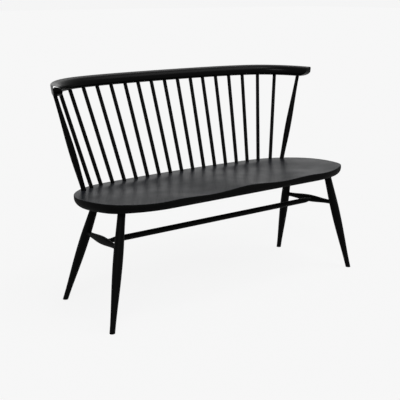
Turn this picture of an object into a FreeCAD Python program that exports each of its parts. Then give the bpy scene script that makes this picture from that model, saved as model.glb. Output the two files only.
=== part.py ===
import FreeCAD, Part
import math
import os

from FreeCAD import Placement, Rotation, Vector

# A two-seat bench with a spindle back: saddled plank, splayed turned legs, stretchers, bent crest rail.
# Lengths are in millimetres and angles in degrees. X runs along the bench, Y to its back, Z up.

# Seat plank
seat_length = 1112.0
seat_depth = 431.0
seat_thickness = 33.0
seat_height = 410.8
seat_slope_angle = 2.7
widest_from_front = 202.0
front_bow_radius = 323.0
front_bow_angle = 32.6
front_corner_radius = 90.0
front_corner_angle = 38.6
back_edge_bow = 16.3
back_corner_radius = 245.0
back_corner_angle = 44.3
edge_band = 10.0
undercut = 12.6
undercut_steps = 5
undercut_angle = 55.0
underside_ahead = 3.0

# Saddle, shaped for two sitters
sitter_from_end = 288.0
bowl_depth = 7.5
bowl_half_width = 226.0
bowl_from_front = 250.0
bowl_reach_front = 245.0
flat_behind_bowl = 76.0
bowl_wall_power = 3
inner_groove_from_sitter = 102.3
inner_groove_half_width = 160.0
inner_groove_depth = 8.1
outer_groove_from_sitter = 126.7
outer_groove_half_width = 183.0
outer_groove_depth = 6.2
groove_reach = 230.0
saddle_grid = 18.0

# Turned legs
leg_seat_diameter = 26.6
leg_swell_diameter = 32.6
leg_shin_diameter = 26.0
leg_foot_diameter = 18.6
leg_swell_drop = 124.0
leg_shin_rise = 114.0
leg_tenon_depth = 20.0
front_leg_from_end = 84.9
front_leg_from_front_edge = 94.8
front_leg_splay_angle = 12.1
front_leg_rake_angle = 8.4
back_leg_from_end = 105.1
back_leg_from_back_edge = 144.2
back_leg_splay_angle = 10.4
back_leg_rake_angle = 17.9

# Stretchers
front_stretcher_drop = 121.0
back_stretcher_drop = 122.8
side_stretcher_end_diameter = 16.0
side_stretcher_swell_diameter = 27.6
side_stretcher_tenon_depth = 18.0
centre_stretcher_diameter = 20.4
centre_stretcher_end_diameter = 14.0
centre_stretcher_taper = 26.0
centre_stretcher_tenon_depth = 14.0
centre_stretcher_ahead = 21.0

# Back spindles
spindles_each_side = 9
spindle_inset = 26.3
slim_spindle_from_end = 130.0
outer_spindle_inset = 20.8
outer_spindle_from_end = 78.0
spindle_seat_diameter = 14.0
spindle_belly_diameter = 14.0
spindle_rail_diameter = 13.6
spindle_belly_rise = 110.0
outer_spindle_seat_diameter = 17.0
outer_spindle_belly_diameter = 22.5
outer_spindle_rail_diameter = 13.6
outer_spindle_belly_rise = 108.0
spindle_seat_depth = 18.0
spindle_rail_depth = 17.0

# Crest rail
rail_height = 43.2
rail_depth = 31.0
rail_setback = 111.2
rail_rise = 336.9
rail_tilt_angle = 1.5
rail_roll_angle = 8.0
rail_middle_radius = 3950.0
rail_shoulder_from_end = 319.0
rail_shoulder_radius = 922.0
rail_shoulder_run = 148.6
rail_bow_radius = 246.1
rail_bow_run = 273.5
rail_top_fall = 12.0
rail_arris_radius = 4.8
rail_under_radius = 12.9
rail_comfort_radius = 20.4
rail_even_gap_count = 2
rail_outer_gaps = [58.8, 63.5, 63.5, 63.7, 69.3, 70.8, 95.2]
heads_outward = [1.2, 3.2, 5.2]
rail_end_past_spindle = 51.4
nose_top_radius = 5.0
nose_under_length = 52.0
nose_under_height = 29.0
nose_side_radius = 5.0

# Fits
glue_gap = 0.1
socket_bottom_gap = 0.3
plain_end = 6.0
cutter_margin = 10.0

os.makedirs("parts", exist_ok=True)

half_length = seat_length / 2
half_depth = seat_depth / 2
seat_place = Placement(Vector(0, 0, seat_height), Rotation(Vector(1, 0, 0), -seat_slope_angle))
sitter_offset = half_length - sitter_from_end
inner_groove_offset = sitter_offset - inner_groove_from_sitter
outer_groove_offset = sitter_offset + outer_groove_from_sitter
bowl_reach_back = seat_depth - flat_behind_bowl - bowl_from_front


def smooth_bump(offset, reach, wall_power=2):
    """1 at no offset and 0 at the reach: the higher the power, the flatter the floor before the wall."""
    share = abs(offset / reach)
    if share >= 1:
        return 0.0
    return (1 - share ** wall_power) ** 2


def ease_out(distance, reach):
    """1 at no distance, easing to 0 at the reach."""
    if distance <= 0:
        return 1.0
    if distance >= reach:
        return 0.0
    return 0.5 + 0.5 * math.cos(math.pi * distance / reach)


def arc_run(start, heading, bends):
    """Tangent arcs to the left from a start point: each bend is a radius and a turn in degrees."""
    edges = []
    point = start
    for radius, turn in bends:
        centre = point + Vector(-math.sin(heading), math.cos(heading), 0) * radius
        middle_heading = heading + math.radians(turn) / 2
        end_heading = heading + math.radians(turn)
        middle = centre + Vector(math.sin(middle_heading), -math.cos(middle_heading), 0) * radius
        end = centre + Vector(math.sin(end_heading), -math.cos(end_heading), 0) * radius
        edges.append(Part.Arc(point, middle, end).toShape())
        point = end
        heading = end_heading
    return edges, point


def mirrored_x(shape):
    """The shape's twin on the other side of the bench."""
    return shape.mirror(Vector(0, 0, 0), Vector(1, 0, 0))


# Seat outline, drawn on the flat of the plank with the middle of its depth at the origin

def last_bend(bends, depth):
    """The bend that finishes a quarter turn and brings the whole run to a depth across its start."""
    heading = sum(turn for _, turn in bends)
    used = arc_run(Vector(0, 0, 0), 0.0, bends)[1].y
    return (depth - used) / math.cos(math.radians(heading)), 90 - heading


def run_across(bends):
    """How far a run of bends goes along X when it starts out along X."""
    return arc_run(Vector(0, 0, 0), 0.0, bends)[1].x


def seat_front_bends():
    """The bends from the straight of the front edge round to the widest point of the seat."""
    bends = [(front_bow_radius, front_bow_angle), (front_corner_radius, front_corner_angle)]
    return bends + [last_bend(bends, widest_from_front)]


def seat_back_bends():
    """The bends from the middle of the back edge to the widest point, found by halving a range."""
    low = 1.0
    high = 30.0
    for _ in range(60):
        turn = (low + high) / 2
        edge_radius = back_edge_bow / (1 - math.cos(math.radians(turn)))
        bends = [(edge_radius, turn), (back_corner_radius, back_corner_angle)]
        bends.append(last_bend(bends, seat_depth - widest_from_front))
        if run_across(bends) > half_length:
            low = turn
        else:
            high = turn
    return bends


front_bends = seat_front_bends()
back_bends = seat_back_bends()


def shrunk(bends, inset):
    """The same bends on a line that lies the inset inside."""
    return [(radius - inset, turn) for radius, turn in bends]


def outline_wire(inset, level):
    """The seat's outline moved inward by the inset, at a level of the plank."""
    front_straight = half_length - run_across(front_bends)
    front_y = -half_depth + inset
    back_y = half_depth - inset
    corner = Vector(front_straight, front_y, level)
    front_edges, _ = arc_run(corner, 0.0, shrunk(front_bends, inset))
    back_edges, _ = arc_run(Vector(0, -back_y, level), 0.0, shrunk(back_bends, inset))
    back_edges = [edge.mirror(Vector(0, 0, 0), Vector(0, 1, 0)) for edge in back_edges]
    right = [Part.makeLine(Vector(0, front_y, level), corner)] + front_edges + back_edges
    left = [mirrored_x(edge) for edge in right]
    return Part.Wire(Part.__sortEdges__(right + left))


def saddle_level(x, y):
    """Height of the carved top above the flat of the plank."""
    along = abs(x)
    from_front = y + half_depth
    bowl = bowl_depth * smooth_bump(along - sitter_offset, bowl_half_width, bowl_wall_power)
    if from_front < bowl_from_front:
        bowl *= smooth_bump(from_front - bowl_from_front, bowl_reach_front)
    else:
        bowl *= smooth_bump(from_front - bowl_from_front, bowl_reach_back, bowl_wall_power)
    inner = inner_groove_depth * smooth_bump(along - inner_groove_offset, inner_groove_half_width)
    outer = outer_groove_depth * smooth_bump(along - outer_groove_offset, outer_groove_half_width)
    grooves = (inner + outer) * ease_out(from_front, groove_reach)
    return -bowl - grooves


def saddle_cutter():
    """Everything above the carved top of the seat."""
    half_x = half_length + cutter_margin
    half_y = half_depth + cutter_margin
    columns = 2 * math.ceil(half_x / saddle_grid) + 1
    rows = 2 * math.ceil(half_y / saddle_grid) + 1
    grid = []
    for i in range(columns):
        x = -half_x + 2 * half_x * i / (columns - 1)
        line = []
        for j in range(rows):
            y = -half_y + 2 * half_y * j / (rows - 1)
            line.append(Vector(x, y, saddle_level(x, y)))
        grid.append(line)
    surface = Part.BSplineSurface()
    surface.interpolate(grid)
    return surface.toShape().extrude(Vector(0, 0, seat_thickness + cutter_margin))


def plank():
    """The seat before its sockets: upright band at the rim, rounded undercut below, carved top."""
    band = Part.Face(outline_wire(0, -edge_band)).extrude(Vector(0, 0, edge_band + cutter_margin))
    undercut_height = seat_thickness - edge_band
    full_in = 1 - math.cos(math.radians(undercut_angle))
    full_down = math.sin(math.radians(undercut_angle))
    wires = []
    for step in range(undercut_steps + 1):
        angle = math.radians(undercut_angle * step / undercut_steps)
        inset = undercut * (1 - math.cos(angle)) / full_in
        level = -edge_band - undercut_height * math.sin(angle) / full_down
        wire = outline_wire(inset, level)
        wire.translate(Vector(0, -underside_ahead * inset / undercut, 0))
        wires.append(wire)
    lower = Part.makeLoft(wires, True, False)
    return band.fuse(lower).cut(saddle_cutter())


# Turned pieces and their round sockets

def along_axis(shape, start, end):
    """Set a shape that was made along Z on the line from start to end."""
    turned = shape.copy()
    turned.Placement = Placement(start, Rotation(Vector(0, 0, 1), end - start))
    return turned


def turned_piece(runs, start_plain, end_plain, start, end):
    """A turned piece. Each run of (distance, diameter) stations is one smooth curve, runs are joined
    by straight lengths, and a plain round length is added at both ends."""
    upright = Vector(0, 0, 1)
    first_distance, first_diameter = runs[0][0]
    last_distance, last_diameter = runs[-1][-1]
    axis_start = Vector(0, 0, first_distance - start_plain)
    axis_end = Vector(0, 0, last_distance + end_plain)
    point = Vector(first_diameter / 2, 0, axis_start.z)
    edges = [Part.makeLine(axis_start, point)]
    for stations in runs:
        points = [Vector(diameter / 2, 0, distance) for distance, diameter in stations]
        curve = Part.BSplineCurve()
        curve.interpolate(Points=points, InitialTangent=upright, FinalTangent=upright)
        edges.append(Part.makeLine(point, points[0]))
        edges.append(curve.toShape())
        point = points[-1]
    head = Vector(last_diameter / 2, 0, axis_end.z)
    edges.append(Part.makeLine(point, head))
    edges.append(Part.makeLine(head, axis_end))
    edges.append(Part.makeLine(axis_end, axis_start))
    profile = Part.Face(Part.Wire(edges))
    solid = profile.revolve(Vector(0, 0, 0), Vector(0, 0, 1), 360)
    return along_axis(solid, start, end)


def socket(mouth, inward, depth, diameter):
    """A blind round hole that starts a little outside its mouth."""
    direction = Vector(inward).normalize()
    start = mouth - direction * cutter_margin
    return Part.makeCylinder(
        diameter / 2 + glue_gap, depth + socket_bottom_gap + cutter_margin, start, direction
    )


# Where the back spindles stand and meet the rail, all measured along the curves

spindle_pitch = (half_length - slim_spindle_from_end) / (spindles_each_side - 1)
rail_middle_run = half_length - rail_shoulder_from_end
rail_run = rail_middle_run + rail_shoulder_run + rail_bow_run
rail_pitch = (rail_run - rail_end_past_spindle - sum(rail_outer_gaps)) / rail_even_gap_count


def point_on_bends(bends, distance):
    """Point and heading at a distance along a run of bends that starts out along X."""
    point = Vector(0, 0, 0)
    heading = 0.0
    for radius, turn in bends:
        length = radius * math.radians(turn)
        step = min(distance, length)
        centre = point + Vector(-math.sin(heading), math.cos(heading), 0) * radius
        heading += step / radius
        point = centre + Vector(math.sin(heading), -math.cos(heading), 0) * radius
        distance -= step
        if distance <= 0:
            break
    return point, heading


def spindle_foot(index):
    """Where a spindle's axis meets the flat of the seat, index 0 in the middle."""
    inset = spindle_inset
    distance = abs(index) * spindle_pitch
    if abs(index) == spindles_each_side:
        inset = outer_spindle_inset
        distance = half_length - outer_spindle_from_end
    point, _ = point_on_bends(shrunk(back_bends, inset), distance)
    side = -1 if index < 0 else 1
    return seat_place.multVec(Vector(side * point.x, half_depth - inset - point.y, 0))


rail_bends = [
    (rail_middle_radius, math.degrees(rail_middle_run / rail_middle_radius)),
    (rail_shoulder_radius, math.degrees(rail_shoulder_run / rail_shoulder_radius)),
    (rail_bow_radius, math.degrees(rail_bow_run / rail_bow_radius)),
]
rail_origin = spindle_foot(0) + Vector(0, rail_setback, rail_rise)
rail_origin.z += rail_height / 2
rail_place = Placement(rail_origin, Rotation(Vector(1, 0, 0), rail_tilt_angle))


def rail_station(index):
    """Distance along the rail, from its middle, of a spindle's top."""
    count = abs(index)
    even = min(count, rail_even_gap_count) * rail_pitch
    return even + sum(rail_outer_gaps[: max(0, count - rail_even_gap_count)])


def rail_frame(distance):
    """Placement of the rail's section at a distance from its middle: X onward, Y outward, Z up."""
    point, heading = point_on_bends(rail_bends, distance)
    onward = Rotation(Vector(0, 0, 1), -math.degrees(heading))
    rolled = Rotation(Vector(1, 0, 0), -rail_roll_angle)
    return Placement(Vector(point.x, -point.y, 0), onward * rolled)


def spindle_head(index):
    """Where a spindle's axis meets the underside of the rail, a little outward for the last few."""
    place = abs(index) - spindles_each_side + len(heads_outward) - 1
    outward = heads_outward[place] if place >= 0 else 0
    head = rail_frame(rail_station(index)).multVec(Vector(0, outward, -rail_height / 2))
    if index < 0:
        head.x = -head.x
    return rail_place.multVec(head)


def spindle(index):
    """A back spindle between the seat and the rail, and the two sockets that it needs."""
    foot = spindle_foot(index)
    head = spindle_head(index)
    length = (head - foot).Length
    if abs(index) == spindles_each_side:
        seat_end = outer_spindle_seat_diameter
        belly = outer_spindle_belly_diameter
        rail_end = outer_spindle_rail_diameter
        belly_rise = outer_spindle_belly_rise
    else:
        seat_end = spindle_seat_diameter
        belly = spindle_belly_diameter
        rail_end = spindle_rail_diameter
        belly_rise = spindle_belly_rise
    stations = [
        (plain_end, seat_end),
        (belly_rise, belly),
        (length - plain_end, rail_end),
    ]
    seat_plain = spindle_seat_depth + plain_end
    rail_plain = spindle_rail_depth + plain_end
    solid = turned_piece([stations], seat_plain, rail_plain, foot, head)
    upward = head - foot
    seat_socket = socket(foot, -upward, spindle_seat_depth, seat_end)
    rail_socket = socket(head, upward, spindle_rail_depth, rail_end)
    return solid, seat_socket, rail_socket


# Crest rail

def rounded_corner(before, corner, after, radius):
    """The arc that rounds a corner between two straight sides, with its two ends."""
    to_before = (before - corner).normalize()
    to_after = (after - corner).normalize()
    half_angle = to_before.getAngle(to_after) / 2
    reach = radius / math.tan(half_angle)
    inward = (to_before + to_after).normalize()
    middle = corner + inward * (radius / math.sin(half_angle) - radius)
    start = corner + to_before * reach
    end = corner + to_after * reach
    return Part.Arc(start, middle, end).toShape(), start, end


def rail_section():
    """The rail's cross-section at its middle: its top falls to the sitter's side, rounded most there."""
    half_h = rail_height / 2
    half_d = rail_depth / 2
    corners = [
        (Vector(0, half_d, half_h), rail_arris_radius),
        (Vector(0, half_d, -half_h), rail_under_radius),
        (Vector(0, -half_d, -half_h), rail_under_radius),
        (Vector(0, -half_d, half_h - rail_top_fall), rail_comfort_radius),
    ]
    edges = []
    starts = []
    ends = []
    for i, (corner, radius) in enumerate(corners):
        before = corners[i - 1][0]
        after = corners[(i + 1) % len(corners)][0]
        arc, start, end = rounded_corner(before, corner, after, radius)
        edges.append(arc)
        starts.append(start)
        ends.append(end)
    for i in range(len(corners)):
        edges.append(Part.makeLine(ends[i], starts[(i + 1) % len(corners)]))
    section = Part.Wire(Part.__sortEdges__(edges))
    section.Placement = rail_frame(0)
    return section


def rail_path():
    """One half of the rail's centre line, from its middle to its right end."""
    edges, _ = arc_run(Vector(0, 0, 0), 0.0, rail_bends)
    return Part.Wire([edge.mirror(Vector(0, 0, 0), Vector(0, 1, 0)) for edge in edges])


def nose_cutters():
    """What is carved off the right end: a long round below, a small one above, round sides."""
    half_h = rail_height / 2
    half_d = rail_depth / 2
    far = cutter_margin
    wide = rail_depth + far
    # side view, X outward along the rail and Z up, tip at the origin
    tip_low = -half_h + nose_under_height
    low_start = Vector(-nose_under_length, 0, -half_h)
    low_end = Vector(0, 0, tip_low)
    under = Part.Ellipse(low_end, low_start, Vector(-nose_under_length, 0, tip_low))
    first = under.parameter(low_start)
    last = under.parameter(low_end)
    if last < first:
        last += 2 * math.pi
    if last - first > math.pi:
        first, last = last, first + 2 * math.pi
    under_edge = under.toShape(first, last)
    top_start = Vector(0, 0, half_h - nose_top_radius)
    top_end = Vector(-nose_top_radius, 0, half_h)
    top_centre = Vector(-nose_top_radius, 0, half_h - nose_top_radius)
    top_middle = top_centre + Vector(1, 0, 1) * (nose_top_radius / math.sqrt(2))
    side_edges = [
        under_edge,
        Part.makeLine(low_end, top_start),
        Part.Arc(top_start, top_middle, top_end).toShape(),
        Part.makeLine(top_end, Vector(-nose_top_radius, 0, half_h + far)),
        Part.makeLine(Vector(-nose_top_radius, 0, half_h + far), Vector(far, 0, half_h + far)),
        Part.makeLine(Vector(far, 0, half_h + far), Vector(far, 0, -half_h - far)),
        Part.makeLine(Vector(far, 0, -half_h - far), Vector(-nose_under_length, 0, -half_h - far)),
        Part.makeLine(Vector(-nose_under_length, 0, -half_h - far), low_start),
    ]
    side_face = Part.Face(Part.Wire(Part.__sortEdges__(side_edges)))
    side_face.translate(Vector(0, -wide, 0))
    side_cutter = side_face.extrude(Vector(0, 2 * wide, 0))
    cutters = [side_cutter]
    # plan view, the two upright corners of the tip
    for hand in (-1, 1):
        corner = Vector(0, hand * half_d, 0)
        inner = Vector(-nose_side_radius, hand * half_d, 0)
        outer = Vector(0, hand * (half_d - nose_side_radius), 0)
        centre = Vector(-nose_side_radius, hand * (half_d - nose_side_radius), 0)
        middle = centre + Vector(1, hand, 0) * (nose_side_radius / math.sqrt(2))
        beyond = Vector(-nose_side_radius, hand * (half_d + far), 0)
        outside = Vector(far, hand * (half_d + far), 0)
        ahead = Vector(far, hand * (half_d - nose_side_radius), 0)
        plan_edges = [
            Part.Arc(inner, middle, outer).toShape(),
            Part.makeLine(outer, ahead),
            Part.makeLine(ahead, outside),
            Part.makeLine(outside, beyond),
            Part.makeLine(beyond, inner),
        ]
        plan_face = Part.Face(Part.Wire(Part.__sortEdges__(plan_edges)))
        plan_face.translate(Vector(0, 0, -half_h - far))
        cutters.append(plan_face.extrude(Vector(0, 0, rail_height + 2 * far)))
    spot = rail_frame(rail_run)
    for cutter in cutters:
        cutter.Placement = spot.multiply(cutter.Placement)
    return cutters


def crest_rail():
    """The bent rail before its sockets."""
    pipe = Part.BRepOffsetAPI.MakePipeShell(rail_path())
    pipe.setBiNormalMode(Vector(0, 0, 1))
    pipe.add(rail_section())
    pipe.build()
    pipe.makeSolid()
    right = pipe.shape()
    for cutter in nose_cutters():
        right = right.cut(cutter)
    whole = right.fuse(mirrored_x(right)).removeSplitter()
    whole.Placement = rail_place
    return whole


# Legs and stretchers

front_leg_local = Vector(
    half_length - front_leg_from_end, -half_depth + front_leg_from_front_edge, -seat_thickness
)
back_leg_local = Vector(
    half_length - back_leg_from_end, half_depth - back_leg_from_back_edge, -seat_thickness
)


def leg_line(local, side_splay, rake, hand):
    """A leg's mouth in the seat's underside and its direction downward."""
    mouth = seat_place.multVec(Vector(hand * local.x, local.y, local.z))
    tilt = Vector(hand * math.tan(math.radians(side_splay)), math.tan(math.radians(rake)), -1)
    return mouth, tilt.normalize()


def leg(mouth, downward):
    """A turned leg, sawn level where it meets the floor, and its socket in the seat."""
    length = -mouth.z / downward.z
    stations = [
        (plain_end, leg_seat_diameter),
        (leg_swell_drop, leg_swell_diameter),
        (length - leg_shin_rise, leg_shin_diameter),
        (length, leg_foot_diameter),
    ]
    solid = turned_piece([stations], leg_tenon_depth + plain_end, cutter_margin, mouth, mouth + downward)
    reach = half_length + seat_height
    floor = Part.makeBox(2 * reach, 2 * reach, reach, Vector(-reach, -reach, -reach))
    return solid.cut(floor), socket(mouth, -downward, leg_tenon_depth, leg_seat_diameter)


def stretcher(start, end, runs, tenon_depth, entry):
    """A turned stretcher whose ends go into round pieces: entry is how deep the axes lie in them."""
    direction = Vector(end - start).normalize()
    first = start + direction * entry
    last = end - direction * entry
    plain = tenon_depth + plain_end
    body = turned_piece(runs((last - first).Length), plain, plain, first, last)
    return body, first, last


def side_runs(length):
    """Thin at both ends with one long swell."""
    swell = [
        (plain_end, side_stretcher_end_diameter),
        (length / 2, side_stretcher_swell_diameter),
        (length - plain_end, side_stretcher_end_diameter),
    ]
    return [swell]


def centre_runs(length):
    """Even, with a short taper at both ends."""
    inner_end = plain_end + centre_stretcher_taper
    left_taper = [(plain_end, centre_stretcher_end_diameter), (inner_end, centre_stretcher_diameter)]
    right_taper = [(length - distance, diameter) for distance, diameter in reversed(left_taper)]
    return [left_taper, right_taper]


nodes = {}
seat = plank()
seat.Placement = seat_place.multiply(seat.Placement)
rail = crest_rail()

# Legs, with the points where the side stretchers meet them

joints = {}
for side_name, hand in (("left", -1), ("right", 1)):
    front_rake = -front_leg_rake_angle
    front_mouth, front_down = leg_line(front_leg_local, front_leg_splay_angle, front_rake, hand)
    back_mouth, back_down = leg_line(back_leg_local, back_leg_splay_angle, back_leg_rake_angle, hand)
    front_point = front_mouth + front_down * front_stretcher_drop
    back_point = back_mouth + back_down * back_stretcher_drop
    joints[side_name] = (front_point, back_point)
    for end_name, mouth, down in (("front", front_mouth, front_down), ("back", back_mouth, back_down)):
        piece, hole = leg(mouth, down)
        seat = seat.cut(hole)
        nodes["leg_" + end_name + "_" + side_name] = piece

# Side stretchers between each pair of legs

leg_entry = leg_swell_diameter / 2
crossings = {}
for side_name in ("left", "right"):
    front_point, back_point = joints[side_name]
    piece, first, last = stretcher(
        front_point, back_point, side_runs, side_stretcher_tenon_depth, leg_entry
    )
    forward = Vector(front_point - back_point).normalize()
    for end_name, mouth, inward in (("front", first, forward), ("back", last, -forward)):
        name = "leg_" + end_name + "_" + side_name
        hole = socket(mouth, inward, side_stretcher_tenon_depth, side_stretcher_end_diameter)
        nodes[name] = nodes[name].cut(hole)
    crossings[side_name] = (front_point + back_point) * 0.5 + forward * centre_stretcher_ahead
    nodes["side_stretcher_" + side_name] = piece

# The long stretcher between the side stretchers

piece, first, last = stretcher(
    crossings["left"],
    crossings["right"],
    centre_runs,
    centre_stretcher_tenon_depth,
    side_stretcher_swell_diameter / 2,
)
for side_name, mouth, inward in (("left", first, Vector(-1, 0, 0)), ("right", last, Vector(1, 0, 0))):
    name = "side_stretcher_" + side_name
    hole = socket(mouth, inward, centre_stretcher_tenon_depth, centre_stretcher_end_diameter)
    nodes[name] = nodes[name].cut(hole)
nodes["centre_stretcher"] = piece

# Back spindles, numbered from the left

for number in range(2 * spindles_each_side + 1):
    piece, seat_hole, rail_hole = spindle(number - spindles_each_side)
    seat = seat.cut(seat_hole)
    rail = rail.cut(rail_hole)
    nodes["spindle_%02d" % (number + 1)] = piece

nodes["seat"] = seat
nodes["crest_rail"] = rail

# The origin is put on the floor under the middle of the whole bench

box = Part.makeCompound(list(nodes.values())).optimalBoundingBox(False, False)
to_origin = Vector(-(box.XMin + box.XMax) / 2, -(box.YMin + box.YMax) / 2, -box.ZMin)
for name, shape in nodes.items():
    solid = shape.Solids[0] if len(shape.Solids) == 1 else shape
    solid.translate(to_origin)
    solid.exportStep("parts/" + name + ".step")
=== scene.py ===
import math

import bmesh
import bpy
from mathutils import Matrix, Vector


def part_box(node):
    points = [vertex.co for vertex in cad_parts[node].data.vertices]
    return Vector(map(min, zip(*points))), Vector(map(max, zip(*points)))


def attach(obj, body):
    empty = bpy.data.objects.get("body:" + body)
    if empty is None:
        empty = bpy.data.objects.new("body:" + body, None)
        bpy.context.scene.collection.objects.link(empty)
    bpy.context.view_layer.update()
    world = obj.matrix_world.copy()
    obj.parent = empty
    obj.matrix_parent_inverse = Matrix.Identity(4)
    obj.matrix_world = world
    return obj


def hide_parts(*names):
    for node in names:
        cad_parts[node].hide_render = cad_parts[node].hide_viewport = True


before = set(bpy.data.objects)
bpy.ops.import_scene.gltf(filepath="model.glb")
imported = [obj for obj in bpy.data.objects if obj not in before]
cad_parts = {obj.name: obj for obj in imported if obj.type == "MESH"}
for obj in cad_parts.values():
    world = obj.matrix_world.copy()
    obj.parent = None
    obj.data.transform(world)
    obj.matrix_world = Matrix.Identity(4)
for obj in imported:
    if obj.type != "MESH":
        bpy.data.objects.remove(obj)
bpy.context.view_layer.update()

# A two-seat bench in satin black paint: saddled plank, turned legs and spindles, bent crest rail.
# Lengths are in metres. X runs along the bench, Y to its back, Z up.

# Seat plank. A bend is its radius and the angle that it turns through.
seat_length = 1.112
seat_depth = 0.431
seat_thickness = 0.033
seat_height = 0.4108
seat_slope = math.radians(2.7)
widest_from_front = 0.202
front_bow = (0.323, math.radians(32.6))
front_corner = (0.090, math.radians(38.6))
back_edge_bow = 0.0163
back_corner = (0.245, math.radians(44.3))
edge_band = 0.010
undercut = 0.0126
undercut_angle = math.radians(55.0)
underside_ahead = 0.003
undercut_steps = 9
arris_radius = 0.0022
arris_steps = 4
rim_points = 384
half_length = seat_length / 2
half_depth = seat_depth / 2

# Saddle, shaped for two sitters. A groove is its distance from the middle, half width and depth.
sitter_offset = 0.268
bowl_depth = 0.0075
bowl_half_width = 0.226
bowl_from_front = 0.250
bowl_reach_front = 0.245
bowl_reach_back = 0.105
bowl_wall = 3
inner_groove = (0.1657, 0.160, 0.0081)
outer_groove = (0.3947, 0.183, 0.0062)
groove_reach = 0.230

# Turned legs. A spot is across and along from the plank's middle, a lean is outward and back.
leg_seat_radius = 0.0133
leg_swell_radius = 0.0163
leg_shin_radius = 0.013
leg_foot_radius = 0.0093
leg_swell_drop = 0.124
leg_shin_rise = 0.114
leg_tenon = 0.020
front_leg_spot = (0.4711, -0.1207)
front_leg_lean = (math.radians(12.1), math.radians(-8.4))
back_leg_spot = (0.4509, 0.0713)
back_leg_lean = (math.radians(10.4), math.radians(17.9))
sole_ease = 0.0009
leg_ring_step = 0.0075
leg_sawing_room = 0.012
leg_grain_shift = (0.1, 0, 0.2)

# Stretchers
front_stretcher_drop = 0.121
back_stretcher_drop = 0.1228
side_end_radius = 0.0080
side_swell_radius = 0.0138
side_tenon = 0.018
side_ring_step = 0.006
centre_radius = 0.0102
centre_end_radius = 0.007
centre_taper = 0.026
centre_tenon = 0.014
centre_ahead = 0.021
centre_taper_step = 0.003
centre_ring_step = 0.02
stretcher_tenon_shown = 0.6

# Back spindles. The three radii are at the foot, at the belly and at the head.
spindles_each_side = 9
spindle_inset = 0.0263
slim_spindle_from_end = 0.130
outer_spindle_inset = 0.0208
outer_spindle_from_end = 0.078
spindle_radii = (0.007, 0.007, 0.0068)
spindle_belly_rise = 0.110
outer_spindle_radii = (0.0085, 0.01125, 0.0068)
outer_spindle_belly_rise = 0.108
spindle_seat_tenon = 0.018
spindle_rail_tenon = 0.017
rail_tenon_shown = 0.7
spindle_ring_step = 0.012
spindle_grain_shift = (0.07, 0.03, 0.5)

# Crest rail. A run is its radius and its length, from the middle of the rail outward.
rail_height = 0.0432
rail_depth = 0.031
rail_setback = 0.1112
rail_rise = 0.3369
rail_tilt = math.radians(1.5)
rail_roll = math.radians(8.0)
rail_runs = ((3.95, 0.237), (0.922, 0.1486), (0.2461, 0.2735))
rail_ring_steps = (0.012, 0.008, 0.006)
rail_top_fall = 0.012
rail_arris_radius = 0.0048
rail_arris_segments = 10
rail_under_radius = 0.0129
rail_under_segments = 12
rail_comfort_radius = 0.0204
rail_comfort_segments = 14
rail_even_gap_count = 2
rail_outer_gaps = (0.0588, 0.0635, 0.0635, 0.0637, 0.0693, 0.0708, 0.0952)
rail_end_past_spindle = 0.0514
heads_outward = (0.0012, 0.0032, 0.0052)
nose_round = 0.005
nose_under_length = 0.052
nose_under_height = 0.029
nose_rings = 20

# All turned pieces
plain_end = 0.006
turned_sides = 40
profile_passes = 60

# Paint. A painted highlight lies in a range before the rail's left end, and high up in its section.
paint_tone = 0.001
paint_ior = 1.5
fibre_dark = (0.75, 0.76, 0.78)
fibre_pale = (1.25, 1.25, 1.27)
fibre_range = (0.3, 0.7)
grain_strength = 0.35
ripple_strength = 0.12
ripple_depth = 0.00002
patch_range = (0.25, 0.75)
patch_shine = 0.04
patch_dulling = 0.05
upward_range = (0.6, 0.9)
edge_dulling = 0.3
# Painted reflection: a pale bluish tint added to the seat's upward faces.
painted_top_reflection = (0.0045, 0.005, 0.0062, 1)
# Painted highlight on the rail's left end: where it starts and stops, how high it lies, and its
# grey.
painted_highlight_start = (0.0001, 0.0008)
painted_highlight_stop = (0.005, 0.003)
painted_highlight_above = (0.013, 0.018)
painted_highlight_grey = 0.5

# Studio, and the camera at the photograph's place
floor_size = 80
backdrop_grey = 0.913
floor_shadow_share = 0.035
floor_bounce_grey = 0.3
air_grey = 0.4
lamp_height = 3
camera_spot = Vector((-1.878, -2.4027, 1.075))
camera_azimuth = math.radians(-37.74)
camera_elevation = math.radians(14.01)
camera_lens = 75.78
camera_film_width = 36.0
camera_reach = 200.0

merge_distance = 0.00001
hair = 1e-6


# Hand tools

def deselect_all():
    if bpy.context.object and bpy.context.object.mode != "OBJECT":
        bpy.ops.object.mode_set(mode="OBJECT")
    bpy.ops.object.select_all(action="DESELECT")


def take(piece):
    """Make one piece the selected and active one."""
    deselect_all()
    piece.select_set(True)
    bpy.context.view_layer.objects.active = piece


def edit(piece, kind="VERT"):
    """Open a piece for editing with nothing selected."""
    take(piece)
    bpy.ops.object.mode_set(mode="EDIT")
    bpy.ops.mesh.select_mode(type=kind)
    bpy.ops.mesh.select_all(action="DESELECT")


def close_edit():
    bpy.ops.object.mode_set(mode="OBJECT")


def pick(piece, test, kind):
    """Select only the vertices, edges or faces that pass the test."""
    bpy.ops.mesh.select_mode(type=kind)
    bpy.ops.mesh.select_all(action="DESELECT")
    shape = bmesh.from_edit_mesh(piece.data)
    items = {"VERT": shape.verts, "EDGE": shape.edges, "FACE": shape.faces}[kind]
    for item in items:
        if test(item):
            item.select_set(True)
    shape.select_flush_mode()
    bmesh.update_edit_mesh(piece.data)


def selected_vertices(piece):
    shape = bmesh.from_edit_mesh(piece.data)
    return shape, [vertex for vertex in shape.verts if vertex.select]


def place(piece, matrix):
    """Move a finished piece to its place, with its object left at the origin."""
    piece.data.transform(matrix)
    piece.data.update()


def tidy(piece):
    """Merge doubles, close up and turn every face outward."""
    edit(piece)
    bpy.ops.mesh.select_all(action="SELECT")
    bpy.ops.mesh.remove_doubles(threshold=merge_distance)
    bpy.ops.mesh.normals_make_consistent(inside=False)
    close_edit()


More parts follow.
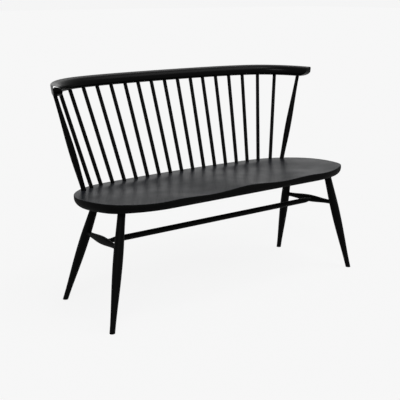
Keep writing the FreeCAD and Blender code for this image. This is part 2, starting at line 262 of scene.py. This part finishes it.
def copy_of(piece, name):
    twin = piece.copy()
    twin.data = piece.data.copy()
    twin.name = name
    twin.data.name = name
    bpy.context.scene.collection.objects.link(twin)
    return twin


def mark_grain(piece, placement, offset):
    """Keep where each point lies in the piece's own straight frame, for the grain of its finish.
    The offset differs from piece to piece, so that no two show the same grain."""
    back = placement.inverted()
    marks = piece.data.attributes.new("grain", "FLOAT_VECTOR", "POINT")
    for vertex, mark in zip(piece.data.vertices, marks.data):
        mark.vector = back @ vertex.co + offset


def shade(piece, angle=40):
    take(piece)
    bpy.ops.object.shade_smooth_by_angle(angle=math.radians(angle))
    deselect_all()


def fit_out(piece, node_name, paint):
    """Give a finished piece its paint and let it stand for its node."""
    piece.data.materials.clear()
    piece.data.materials.append(paint)
    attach(piece, "root")
    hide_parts(node_name)


# Curves shared with the construction

def run_along(bends, distance):
    """Point and heading at a distance along tangent arcs that start out along X and turn left."""
    point = Vector((0, 0))
    heading = 0.0
    for radius, angle in bends:
        step = min(distance, radius * angle)
        centre = point + Vector((-math.sin(heading), math.cos(heading))) * radius
        heading += step / radius
        point = centre + Vector((math.sin(heading), -math.cos(heading))) * radius
        distance -= step
        if distance <= 0:
            break
    return point, heading


def run_length(bends):
    return sum(radius * angle for radius, angle in bends)


def closed_with(bends, depth):
    """The bends and one more that finishes the quarter turn at a depth across the start."""
    heading = sum(angle for _, angle in bends)
    used = run_along(bends, run_length(bends))[0].y
    return bends + [((depth - used) / math.cos(heading), math.pi / 2 - heading)]


def seat_back_bends():
    """The bends from the middle of the back edge to the widest point, found by halving a range."""
    low = math.radians(1.0)
    high = math.radians(30.0)
    halvings = 50
    for _ in range(halvings):
        angle = (low + high) / 2
        edge = (back_edge_bow / (1 - math.cos(angle)), angle)
        bends = closed_with([edge, back_corner], seat_depth - widest_from_front)
        if run_along(bends, run_length(bends))[0].x > half_length:
            low = angle
        else:
            high = angle
    return bends


front_bends = closed_with([front_bow, front_corner], widest_from_front)
back_bends = seat_back_bends()
back_run = run_length(back_bends)
front_run = run_length(front_bends)
front_straight = half_length - run_along(front_bends, front_run)[0].x
half_rim = back_run + front_run + front_straight


def rim_spot(distance, inset):
    """A point of the seat's outline: distance 0 and the full round are the middle of the back."""
    side = 1
    if distance > half_rim:
        distance = 2 * half_rim - distance
        side = -1
    if distance <= back_run:
        point, heading = run_along(back_bends, distance)
        spot = Vector((point.x, half_depth - point.y))
        outward = Vector((math.sin(heading), math.cos(heading)))
    elif distance <= back_run + front_run:
        point, heading = run_along(front_bends, back_run + front_run - distance)
        spot = Vector((front_straight + point.x, point.y - half_depth))
        outward = Vector((math.sin(heading), -math.cos(heading)))
    else:
        spot = Vector((half_rim - distance, -half_depth))
        outward = Vector((0, -1))
    spot -= outward * inset
    return Vector((side * spot.x, spot.y))


def bump(offset, reach, wall=2):
    """1 at no offset, 0 at the reach: the higher the wall's power, the flatter the floor."""
    share = abs(offset / reach)
    return 0.0 if share >= 1 else (1 - share ** wall) ** 2


def ease_out(distance, reach):
    share = min(1.0, max(0.0, distance / reach))
    return 0.5 + 0.5 * math.cos(math.pi * share)


def saddle_level(x, y):
    """Height of the carved top above the flat of the plank."""
    along = abs(x)
    from_front = y + half_depth
    bowl = bowl_depth * bump(along - sitter_offset, bowl_half_width, bowl_wall)
    if from_front < bowl_from_front:
        bowl *= bump(from_front - bowl_from_front, bowl_reach_front)
    else:
        bowl *= bump(from_front - bowl_from_front, bowl_reach_back, bowl_wall)
    grooves = sum(
        depth * bump(along - offset, width) for offset, width, depth in (inner_groove, outer_groove)
    )
    return -bowl - grooves * ease_out(from_front, groove_reach)


seat_tilt = Matrix.Rotation(-seat_slope, 4, "X")
seat_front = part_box("seat")[0].y
seat_shift = seat_front + half_depth * math.cos(seat_slope) + edge_band * math.sin(seat_slope)
seat_place = Matrix.Translation((0, seat_shift, seat_height)) @ seat_tilt


# Nodes that the paint and the studio are made of

def grey(level):
    return (level, level, level, 1)


def node(tree, kind, **settings):
    """A new node, with its inputs or its own settings given by name."""
    made = tree.nodes.new(kind)
    for name, value in settings.items():
        if name in made.inputs:
            made.inputs[name].default_value = value
        else:
            setattr(made, name, value)
    return made


def noise(tree, place_in, scale, detail, roughness=0.5):
    made = node(tree, "ShaderNodeTexNoise", Scale=scale, Detail=detail, Roughness=roughness)
    tree.links.new(place_in, made.inputs["Vector"])
    return made.outputs["Fac"]


def drawn_out(tree, value, low, high, start=0.0, end=1.0):
    """The value's range from low to high drawn out from start to end, and held beyond both."""
    made = node(tree, "ShaderNodeMapRange")
    made.inputs["From Min"].default_value = low
    made.inputs["From Max"].default_value = high
    made.inputs["To Min"].default_value = start
    made.inputs["To Max"].default_value = end
    tree.links.new(value, made.inputs["Value"])
    return made.outputs["Result"]


def worked_out(tree, operation, *terms, **settings):
    """The result of a sum whose terms are sockets or plain numbers."""
    made = node(tree, "ShaderNodeMath", operation=operation, **settings)
    for term, socket in zip(terms, made.inputs):
        if isinstance(term, bpy.types.NodeSocket):
            tree.links.new(term, socket)
        else:
            socket.default_value = term
    return made.outputs[0]


def tinted(tree, share, colour, tint, blend="MIX"):
    """The colour with a share of the tint mixed in. A mix of colours takes its share at input 0
    and its two colours at 6 and 7, and gives its result at output 2."""
    made = node(tree, "ShaderNodeMix", data_type="RGBA", blend_type=blend)
    tree.links.new(share, made.inputs[0])
    tree.links.new(colour, made.inputs[6])
    made.inputs[7].default_value = tint
    return made.outputs[2]


def raised(tree, height, strength, depth, under=None):
    """A surface raised by a height, on top of another such surface where one is given."""
    made = node(tree, "ShaderNodeBump", Strength=strength, Distance=depth)
    tree.links.new(height, made.inputs["Height"])
    if under is not None:
        tree.links.new(under, made.inputs["Normal"])
    return made.outputs["Normal"]


# Paint

def upward_share(tree):
    """1 where the surface faces up, 0 on the edge and underneath."""
    facing = node(tree, "ShaderNodeSeparateXYZ")
    tree.links.new(node(tree, "ShaderNodeNewGeometry").outputs["Normal"], facing.inputs["Vector"])
    return drawn_out(tree, facing.outputs["Z"], *upward_range)


def painted_highlight_share(tree, place_in, end):
    """Painted highlight: 1 on the upper arris just before the left end, which lies that far from
    the middle.
    """
    parts = node(tree, "ShaderNodeSeparateXYZ")
    tree.links.new(place_in, parts.inputs["Vector"])
    before_end = worked_out(tree, "ADD", parts.outputs["X"], end)
    clear_of_end = drawn_out(tree, before_end, *painted_highlight_start)
    near_end = drawn_out(tree, before_end, *painted_highlight_stop)
    on_arris = drawn_out(tree, parts.outputs["Z"], *painted_highlight_above)
    along_rail = worked_out(tree, "MULTIPLY", clear_of_end, near_end)
    return worked_out(tree, "MULTIPLY", along_rail, on_arris)


def satin_black(
    name, gloss_level, roughness, grain_scale, grain_depth,
    marked=True, matt_edge_and_painted_top=False, painted_highlight_end=None,
):
    """Black paint over wood: even tone, faint grain along the piece, a fine ripple from the spray.
    A marked piece has its grain in its own straight frame, the others in the bench's.
    With a matt edge, only what faces up has the full gloss, and what faces up is painted paler and
    bluer as a painted reflection.
    A painted highlight, pale grey and metallic, lies on the upper arris near the left end at the
    given distance."""
    paint = bpy.data.materials.new(name)
    paint.use_nodes = True
    tree = paint.node_tree
    tree.nodes.clear()
    link = tree.links.new
    output = node(tree, "ShaderNodeOutputMaterial")
    shader = node(tree, "ShaderNodeBsdfPrincipled", IOR=paint_ior)
    shader.inputs["Specular IOR Level"].default_value = gloss_level
    link(shader.outputs["BSDF"], output.inputs["Surface"])
    if marked:
        place_in = node(tree, "ShaderNodeAttribute", attribute_name="grain").outputs["Vector"]
    else:
        place_in = node(tree, "ShaderNodeTexCoord").outputs["Object"]
    stretch = node(tree, "ShaderNodeMapping", Scale=grain_scale)
    link(place_in, stretch.inputs["Vector"])
    fibres = noise(tree, stretch.outputs["Vector"], scale=1.0, detail=6.0, roughness=0.6)
    ripple = noise(tree, place_in, scale=900.0, detail=2.0)
    patches = noise(tree, place_in, scale=14.0, detail=3.0)

    tones = node(tree, "ShaderNodeValToRGB")
    dark, pale = tones.color_ramp.elements
    dark.position, pale.position = fibre_range
    dark.color = [paint_tone * share for share in fibre_dark] + [1]
    pale.color = [paint_tone * share for share in fibre_pale] + [1]
    link(fibres, tones.inputs["Fac"])
    colour = tones.outputs["Color"]
    dullness = drawn_out(
        tree, patches, *patch_range, start=roughness - patch_shine, end=roughness + patch_dulling
    )
    if matt_edge_and_painted_top:
        upward = upward_share(tree)
        shined = worked_out(tree, "MULTIPLY_ADD", upward, -edge_dulling, dullness)
        dullness = worked_out(tree, "ADD", shined, edge_dulling)
        # Painted reflection: faces that look up are made paler and bluer.
        colour = tinted(tree, upward, colour, painted_top_reflection, "ADD")
    # Painted highlight: pale grey metal on the upper arris near the rail's left end, standing in
    # for a glint of light.
    if painted_highlight_end is not None:
        painted_glint = painted_highlight_share(tree, place_in, painted_highlight_end)
        colour = tinted(tree, painted_glint, colour, grey(painted_highlight_grey))
        link(painted_glint, shader.inputs["Metallic"])
    link(colour, shader.inputs["Base Color"])
    link(dullness, shader.inputs["Roughness"])
    grain = raised(tree, fibres, grain_strength, grain_depth)
    sprayed = raised(tree, ripple, ripple_strength, ripple_depth, under=grain)
    link(sprayed, shader.inputs["Normal"])
    return paint


seat_paint = satin_black(
    "seat_paint", gloss_level=0.035, roughness=0.37,
    grain_scale=(9, 160, 160), grain_depth=0.0002, marked=False, matt_edge_and_painted_top=True,
)
# The rail carries a painted highlight on its left end's upper arris.
rail_paint = satin_black(
    "rail_paint", gloss_level=0.035, roughness=0.28,
    grain_scale=(9, 220, 220), grain_depth=0.00015, painted_highlight_end=sum(run for _, run in rail_runs),
)
turned_paint = satin_black(
    "turned_paint", gloss_level=0.033, roughness=0.55,
    grain_scale=(260, 260, 14), grain_depth=0.00012,
)


# Seat

def seat_plank():
    """A ring laid on the outline, drawn over the arris, down the band and under, then filled."""
    deselect_all()
    bpy.ops.mesh.primitive_circle_add(vertices=rim_points, radius=half_length, fill_type="NOTHING")
    seat = bpy.context.object
    seat.name = "saddled_seat"
    edit(seat)
    shape = bmesh.from_edit_mesh(seat.data)
    shape.verts.ensure_lookup_table()
    run = shape.verts.layers.float.new("run")
    for index, vertex in enumerate(shape.verts):
        vertex[run] = 2 * half_rim * index / rim_points
    bmesh.update_edit_mesh(seat.data)

    def lay_ring(inset, level, saddled):
        ring_shape, ring = selected_vertices(seat)
        layer = ring_shape.verts.layers.float["run"]
        for vertex in ring:
            rim = rim_spot(vertex[layer], 0)
            spot = rim_spot(vertex[layer], inset)
            lift = saddle_level(rim.x, rim.y) if saddled else 0.0
            ahead = 0.0 if saddled else underside_ahead * inset / undercut
            vertex.co = (spot.x, spot.y - ahead, level + lift)
        bmesh.update_edit_mesh(seat.data)

    bpy.ops.mesh.select_all(action="SELECT")
    bpy.ops.mesh.select_mode(type="EDGE")
    lay_ring(arris_radius, 0.0, True)
    rings = []
    for step in range(1, arris_steps + 1):
        angle = math.pi / 2 * step / arris_steps
        inset = arris_radius * (1 - math.sin(angle))
        rings.append((inset, -arris_radius * (1 - math.cos(angle)), True))
    for step in range(undercut_steps + 1):
        angle = undercut_angle * step / undercut_steps
        inset = undercut * (1 - math.cos(angle)) / (1 - math.cos(undercut_angle))
        drop = (seat_thickness - edge_band) * math.sin(angle) / math.sin(undercut_angle)
        rings.append((inset, -edge_band - drop, False))
    for inset, level, saddled in rings:
        bpy.ops.mesh.extrude_edges_move(TRANSFORM_OT_translate={"value": (0, 0, 0)})
        lay_ring(inset, level, saddled)
    bpy.ops.mesh.edge_face_add()

    pick(seat, lambda edge: edge.is_boundary, "EDGE")
    bpy.ops.mesh.fill_grid(span=rim_points // 3)
    _, top = selected_vertices(seat)
    for vertex in top:
        if not any(edge.is_boundary for edge in vertex.link_edges):
            vertex.co.z = saddle_level(vertex.co.x, vertex.co.y)
    bmesh.update_edit_mesh(seat.data)
    close_edit()
    tidy(seat)
    place(seat, seat_place)
    shade(seat)
    return seat


# Turned pieces

def smooth_profile(stations):
    """Radius at any distance: a curve through the stations that runs out straight at both ends."""
    count = len(stations)
    slopes = [0.0] * count
    for _ in range(profile_passes):
        for i in range(1, count - 1):
            before = stations[i][0] - stations[i - 1][0]
            after = stations[i + 1][0] - stations[i][0]
            rise_before = (stations[i][1] - stations[i - 1][1]) / before
            rise_after = (stations[i + 1][1] - stations[i][1]) / after
            pull = 3 * (after * rise_before + before * rise_after)
            pull = pull - after * slopes[i - 1] - before * slopes[i + 1]
            slopes[i] = pull / (2 * (before + after))

    def radius(distance):
        if distance <= stations[0][0]:
            return stations[0][1]
        if distance >= stations[-1][0]:
            return stations[-1][1]
        i = max(k for k in range(count - 1) if stations[k][0] <= distance)
        width = stations[i + 1][0] - stations[i][0]
        t = (distance - stations[i][0]) / width
        low = stations[i][1] * (1 + 2 * t) * (1 - t) ** 2 + slopes[i] * width * t * (1 - t) ** 2
        high = stations[i + 1][1] * t * t * (3 - 2 * t) - slopes[i + 1] * width * t * t * (1 - t)
        return low + high
    return radius


def turn(name, distances, radius):
    """Draw a disc out along Z, ring by ring, to the radius of the profile."""
    deselect_all()
    start = distances[0]
    bpy.ops.mesh.primitive_circle_add(
        vertices=turned_sides, radius=radius(start), fill_type="NGON", location=(0, 0, start)
    )
    piece = bpy.context.object
    piece.name = name
    bpy.ops.object.transform_apply(location=True, rotation=True, scale=True)
    edit(piece, "FACE")
    bpy.ops.mesh.select_all(action="SELECT")
    for before, after in zip(distances, distances[1:]):
        onward = {"value": (0, 0, after - before)}
        bpy.ops.mesh.extrude_region_move(TRANSFORM_OT_translate=onward)
        growth = radius(after) / radius(before)
        bpy.ops.transform.resize(value=(growth, growth, 1), center_override=(0, 0, after))
    close_edit()
    tidy(piece)
    return piece


def even_steps(start, end, step):
    count = max(1, round((end - start) / step))
    return [start + (end - start) * i / count for i in range(count + 1)]


def along_line(start, end):
    """Placement that carries Z from the origin onto the line from start to end."""
    turn_to = (end - start).to_track_quat("Z", "Y").to_matrix().to_4x4()
    return Matrix.Translation(start) @ turn_to


def leg_line(spot, lean, hand):
    """A leg's mouth under the seat and its direction downward."""
    mouth = seat_place @ Vector((hand * spot[0], spot[1], -seat_thickness))
    down = Vector((hand * math.tan(lean[0]), math.tan(lean[1]), -1)).normalized()
    return mouth, down


def legs():
    """Four turned legs, sawn level at the floor with the sole's edge just broken."""
    made = []
    pairs = (
        ("front", front_leg_spot, front_leg_lean),
        ("back", back_leg_spot, back_leg_lean),
    )
    for end_name, spot, lean in pairs:
        mouth, down = leg_line(spot, lean, 1)
        length = -mouth.z / down.z
        stations = [
            (plain_end, leg_seat_radius),
            (leg_swell_drop, leg_swell_radius),
            (length - leg_shin_rise, leg_shin_radius),
            (length, leg_foot_radius),
        ]
        distances = even_steps(-leg_tenon, length - leg_sawing_room, leg_ring_step)
        distances.append(length + leg_sawing_room)
        pattern = turn("leg_pattern", distances, smooth_profile(stations))
        for side_name, hand in (("left", -1), ("right", 1)):
            name = "leg_" + end_name + "_" + side_name
            mouth, down = leg_line(spot, lean, hand)
            leg = copy_of(pattern, "turned_" + name)
            placement = along_line(mouth, mouth + down)
            place(leg, placement)
            edit(leg)
            bpy.ops.mesh.select_all(action="SELECT")
            bpy.ops.mesh.bisect(
                plane_co=(0, 0, 0), plane_no=(0, 0, 1), use_fill=True, clear_inner=True
            )
            pick(leg, lambda edge: all(v.co.z < merge_distance for v in edge.verts), "EDGE")
            bpy.ops.mesh.bevel(offset=sole_ease, segments=2, affect="EDGES")
            close_edit()
            tidy(leg)
            mark_grain(leg, placement, Vector([step * len(made) for step in leg_grain_shift]))
            shade(leg)
            made.append((leg, name))
        bpy.data.objects.remove(pattern)
    return made


def stretchers():
    """Two side stretchers with one long swell, and the even one between them."""
    made = []
    crossing = {}
    for side_name, hand in (("left", -1), ("right", 1)):
        front_mouth, front_down = leg_line(front_leg_spot, front_leg_lean, hand)
        back_mouth, back_down = leg_line(back_leg_spot, back_leg_lean, hand)
        front = front_mouth + front_down * front_stretcher_drop
        back = back_mouth + back_down * back_stretcher_drop
        forward = (front - back).normalized()
        first = front - forward * leg_swell_radius
        last = back + forward * leg_swell_radius
        length = (last - first).length
        stations = [
            (plain_end, side_end_radius),
            (length / 2, side_swell_radius),
            (length - plain_end, side_end_radius),
        ]
        reach = side_tenon * stretcher_tenon_shown
        distances = even_steps(-reach, length + reach, side_ring_step)
        name = "side_stretcher_" + side_name
        piece = turn("turned_" + name, distances, smooth_profile(stations))
        placement = along_line(first, last)
        place(piece, placement)
        mark_grain(piece, placement, Vector((0.3, 0, hand * 0.2)))
        shade(piece)
        made.append((piece, name))
        crossing[hand] = (front + back) / 2 + forward * centre_ahead
    along = (crossing[1] - crossing[-1]).normalized()
    first = crossing[-1] + along * side_swell_radius
    last = crossing[1] - along * side_swell_radius
    length = (last - first).length
    inner = plain_end + centre_taper
    taper = smooth_profile([(plain_end, centre_end_radius), (inner, centre_radius)])

    def radius(distance):
        return taper(min(distance, length - distance))
    reach = centre_tenon * stretcher_tenon_shown
    distances = even_steps(-reach, inner, centre_taper_step)
    distances += even_steps(inner, length - inner, centre_ring_step)[1:]
    distances += even_steps(length - inner, length + reach, centre_taper_step)[1:]
    piece = turn("turned_centre_stretcher", distances, radius)
    placement = along_line(first, last)
    place(piece, placement)
    mark_grain(piece, placement, Vector((0.5, 0, 0.1)))
    shade(piece)
    made.append((piece, "centre_stretcher"))
    return made


# Where the rail lies

rail_bends = [(radius, run / radius) for radius, run in rail_runs]
rail_run = run_length(rail_bends)
rail_pitch = (rail_run - rail_end_past_spindle - sum(rail_outer_gaps)) / rail_even_gap_count
spindle_pitch = (half_length - slim_spindle_from_end) / (spindles_each_side - 1)


def spindle_foot(index):
    inset = spindle_inset
    distance = abs(index) * spindle_pitch
    if abs(index) == spindles_each_side:
        inset = outer_spindle_inset
        distance = half_length - outer_spindle_from_end
    point, _ = run_along([(radius - inset, angle) for radius, angle in back_bends], distance)
    return seat_place @ Vector((math.copysign(point.x, index), half_depth - inset - point.y, 0))


rail_origin = spindle_foot(0) + Vector((0, rail_setback, rail_rise + rail_height / 2))
rail_place = Matrix.Translation(rail_origin) @ Matrix.Rotation(rail_tilt, 4, "X")


def rail_frame(distance):
    """Placement of the rail's section at a distance from its middle: X onward, Y outward, Z up."""
    point, heading = run_along(rail_bends, distance)
    turned = Matrix.Rotation(-heading, 4, "Z") @ Matrix.Rotation(-rail_roll, 4, "X")
    return Matrix.Translation((point.x, -point.y, 0)) @ turned


def spindle_head(index):
    count = abs(index)
    distance = min(count, rail_even_gap_count) * rail_pitch
    distance += sum(rail_outer_gaps[: max(0, count - rail_even_gap_count)])
    place_from_end = count - spindles_each_side + len(heads_outward) - 1
    outward = heads_outward[place_from_end] if place_from_end >= 0 else 0
    head = rail_frame(distance) @ Vector((0, outward, -rail_height / 2))
    across = math.copysign(head.x, index) if index else 0.0
    return rail_place @ Vector((across, head.y, head.z))


def spindles():
    """Nineteen spindles: seventeen slim ones from one pattern, and a stout one at each end."""
    made = []
    patterns = {}
    for index in range(-spindles_each_side, spindles_each_side + 1):
        outer = abs(index) == spindles_each_side
        radii = outer_spindle_radii if outer else spindle_radii
        belly = outer_spindle_belly_rise if outer else spindle_belly_rise
        foot = spindle_foot(index)
        head = spindle_head(index)
        length = (head - foot).length
        if outer not in patterns:
            stations = [(plain_end, radii[0]), (belly, radii[1]), (length - plain_end, radii[2])]
            top = length + spindle_rail_tenon * rail_tenon_shown
            distances = even_steps(-spindle_seat_tenon, top, spindle_ring_step)
            patterns[outer] = (turn("spindle_pattern", distances, smooth_profile(stations)), length)
        pattern, pattern_length = patterns[outer]
        number = index + spindles_each_side + 1
        name = "spindle_%02d" % number
        spindle = copy_of(pattern, "turned_" + name)
        place(spindle, Matrix.Diagonal((1, 1, length / pattern_length, 1)))
        placement = along_line(foot, head)
        place(spindle, placement)
        mark_grain(spindle, placement, Vector([step * number for step in spindle_grain_shift]))
        shade(spindle)
        made.append((spindle, name))
    for pattern, _ in patterns.values():
        bpy.data.objects.remove(pattern)
    return made


# Crest rail

def nose_limits(left):
    """How far the section draws in, and its lowest level, with that much of the length left."""
    beyond = max(0.0, nose_round - left)
    inset = nose_round - math.sqrt(nose_round ** 2 - beyond ** 2)
    under = max(0.0, 1 - left / nose_under_length)
    bottom = -rail_height / 2 + nose_under_height * (1 - math.sqrt(1 - under ** 2))
    return inset, bottom


def level_crossings(edges, spots, level):
    """Where a section's outline crosses a level."""
    found = []
    for edge in edges:
        low, high = sorted((spots[vertex] for vertex in edge.verts), key=lambda spot: spot.z)
        if low.z < level <= high.z:
            found.append(low.lerp(high, (level - low.z) / (high.z - low.z)).y)
    return found


def rail_section():
    """One face with the rail's rounded section, left open for editing and marked with its shape."""
    half_h = rail_height / 2
    half_w = rail_depth / 2
    deselect_all()
    bpy.ops.mesh.primitive_plane_add(size=1, rotation=(0, math.pi / 2, 0))
    rail = bpy.context.object
    rail.name = "bent_crest_rail"
    rail.scale = (rail_height, rail_depth, 1)
    bpy.ops.object.transform_apply(location=True, rotation=True, scale=True)
    edit(rail)

    def is_comfort_corner(vertex):
        return vertex.co.y < 0 and vertex.co.z > 0

    def is_outer_arris(vertex):
        return vertex.co.y > half_w - hair and vertex.co.z > half_h - hair

    def is_under_corner(vertex):
        return abs(vertex.co.y) > half_w - hair and vertex.co.z < hair - half_h

    fall_angle = math.atan2(rail_top_fall, rail_depth)
    pick(rail, is_comfort_corner, "VERT")
    bpy.ops.transform.translate(value=(0, 0, -rail_top_fall))
    reach = rail_comfort_radius / math.tan(math.pi / 4 + fall_angle / 2)
    bpy.ops.mesh.bevel(offset=reach, segments=rail_comfort_segments, affect="VERTICES")
    pick(rail, is_outer_arris, "VERT")
    reach = rail_arris_radius / math.tan(math.pi / 4 - fall_angle / 2)
    bpy.ops.mesh.bevel(offset=reach, segments=rail_arris_segments, affect="VERTICES")
    pick(rail, is_under_corner, "VERT")
    bpy.ops.mesh.bevel(offset=rail_under_radius, segments=rail_under_segments, affect="VERTICES")
    bpy.ops.mesh.select_mode(type="FACE")
    bpy.ops.mesh.select_all(action="SELECT")
    shape = bmesh.from_edit_mesh(rail.data)
    section = shape.verts.layers.float_vector.new("section")
    for vertex in shape.verts:
        vertex[section] = vertex.co
    bmesh.update_edit_mesh(rail.data)
    return rail


def crest_rail():
    """The section swept round the bends to the right, its nose rounded off, then mirrored."""
    rail = rail_section()
    first_joint = rail_runs[0][1]
    second_joint = rail_runs[0][1] + rail_runs[1][1]
    middle_step, shoulder_step, bow_step = rail_ring_steps
    distances = even_steps(0, first_joint, middle_step)
    distances += even_steps(first_joint, second_joint, shoulder_step)[1:]
    distances += even_steps(second_joint, rail_run - nose_under_length, bow_step)[1:]
    for ring in range(nose_rings - 1, -1, -1):
        left = nose_under_length * (1 - math.cos(math.pi / 2 * ring / nose_rings))
        distances.append(rail_run - left)
    for distance in distances:
        if distance > 0:
            bpy.ops.mesh.extrude_region_move(TRANSFORM_OT_translate={"value": (0, 0, 0)})
        ring_shape, ring = selected_vertices(rail)
        layer = ring_shape.verts.layers.float_vector["section"]
        onward = rail_frame(distance)
        inset, bottom = nose_limits(rail_run - distance)
        drawn_in = Vector((1, 1 - inset / (rail_depth / 2), 1 - inset / (rail_height / 2)))
        spots = {vertex: vertex[layer] * drawn_in for vertex in ring}
        ring_edges = [edge for edge in ring_shape.edges if edge.select]
        sides = level_crossings(ring_edges, spots, bottom)
        for vertex, spot in spots.items():
            if spot.z < bottom:
                spot = Vector((0, min(max(spot.y, min(sides)), max(sides)), bottom))
            vertex.co = onward @ Vector((0, spot.y, spot.z))
            vertex[layer].x = distance
        bmesh.update_edit_mesh(rail.data)
    pick(rail, lambda face: all(abs(v.co.x) < hair for v in face.verts), "FACE")
    bpy.ops.mesh.delete(type="FACE")
    close_edit()
    mirror = rail.modifiers.new("other half", "MIRROR")
    mirror.use_axis[0] = True
    mirror.use_clip = True
    mirror.merge_threshold = merge_distance
    bpy.ops.object.modifier_apply(modifier=mirror.name)
    tidy(rail)
    marks = rail.data.attributes.new("grain", "FLOAT_VECTOR", "POINT")
    sections = rail.data.attributes["section"]
    for vertex, mark, spot in zip(rail.data.vertices, marks.data, sections.data):
        along = math.copysign(spot.vector.x, vertex.co.x)
        mark.vector = (along, spot.vector.y, spot.vector.z)
    place(rail, rail_place)
    shade(rail)
    return rail


fit_out(seat_plank(), "seat", seat_paint)
fit_out(crest_rail(), "crest_rail", rail_paint)
for piece, name in legs() + stretchers() + spindles():
    fit_out(piece, name, turned_paint)


# Studio

def backdrop_share(tree):
    """1 for what the camera, a gloss or a clear piece sees, 0 for the light that pieces gather."""
    path = node(tree, "ShaderNodeLightPath").outputs
    seen = worked_out(tree, "ADD", path["Is Camera Ray"], path["Is Glossy Ray"])
    return worked_out(tree, "ADD", seen, path["Is Transmission Ray"], use_clamp=True)


def mixed(tree, share, first, second):
    """A mix of two shaders: a share of 0 gives the first."""
    made = node(tree, "ShaderNodeMixShader")
    if isinstance(share, bpy.types.NodeSocket):
        tree.links.new(share, made.inputs["Fac"])
    else:
        made.inputs["Fac"].default_value = share
    tree.links.new(first.outputs[0], made.inputs[1])
    tree.links.new(second.outputs[0], made.inputs[2])
    return made


def pale_floor():
    """A floor that is seen in the backdrop's grey with the bench's shadow, and bounces little."""
    deselect_all()
    bpy.ops.mesh.primitive_plane_add(size=floor_size, location=(0, 0, 0))
    floor = bpy.context.object
    floor.name = "studio_floor"
    cloth = bpy.data.materials.new("pale_floor")
    cloth.use_nodes = True
    tree = cloth.node_tree
    tree.nodes.clear()
    output = node(tree, "ShaderNodeOutputMaterial")
    glow = node(tree, "ShaderNodeEmission", Color=grey(backdrop_grey))
    pale = node(tree, "ShaderNodeBsdfDiffuse", Color=grey(backdrop_grey))
    dim = node(tree, "ShaderNodeBsdfDiffuse", Color=grey(floor_bounce_grey))
    seen = mixed(tree, floor_shadow_share, glow, pale)
    chosen = mixed(tree, backdrop_share(tree), dim, seen)
    tree.links.new(chosen.outputs[0], output.inputs["Surface"])
    floor.data.materials.append(cloth)


def studio_air():
    world = bpy.data.worlds.new("studio")
    bpy.context.scene.world = world
    world.use_nodes = True
    tree = world.node_tree
    tree.nodes.clear()
    output = node(tree, "ShaderNodeOutputWorld")
    dim = node(tree, "ShaderNodeBackground", Color=grey(air_grey))
    seen = node(tree, "ShaderNodeBackground", Color=grey(backdrop_grey))
    chosen = mixed(tree, backdrop_share(tree), dim, seen)
    tree.links.new(chosen.outputs[0], output.inputs["Surface"])


def far_lamp(name, energy, spread, toward):
    """A soft lamp far away, as wide as the spread in degrees, seen from the bench that way."""
    deselect_all()
    bpy.ops.object.light_add(type="SUN", location=(0, 0, lamp_height))
    lamp = bpy.context.object
    lamp.name = name
    lamp.data.energy = energy
    lamp.data.angle = math.radians(spread)
    lamp.rotation_euler = Vector(toward).to_track_quat("Z", "Y").to_euler()


def aim_camera():
    deselect_all()
    bpy.ops.object.camera_add(location=camera_spot)
    camera = bpy.context.object
    back = Vector((
        math.sin(camera_azimuth) * math.cos(camera_elevation),
        -math.cos(camera_azimuth) * math.cos(camera_elevation),
        math.sin(camera_elevation),
    ))
    camera.rotation_euler = (-back).to_track_quat("-Z", "Y").to_euler()
    camera.data.lens = camera_lens
    camera.data.sensor_width = camera_film_width
    camera.data.clip_end = camera_reach
    bpy.context.scene.camera = camera


pale_floor()
studio_air()
far_lamp("soft_key", energy=2.2, spread=50, toward=(0.35, -0.5, 1))
far_lamp("overhead", energy=0.5, spread=9, toward=(0.094, -0.284, 0.952))
far_lamp("front_panel", energy=1.8, spread=22, toward=(-0.55, -0.6, 0.58))
far_lamp("rear_wash", energy=0.19, spread=50, toward=(0.42, 0.89, 0.33))
aim_camera()
bpy.context.scene.view_settings.view_transform = "Standard"
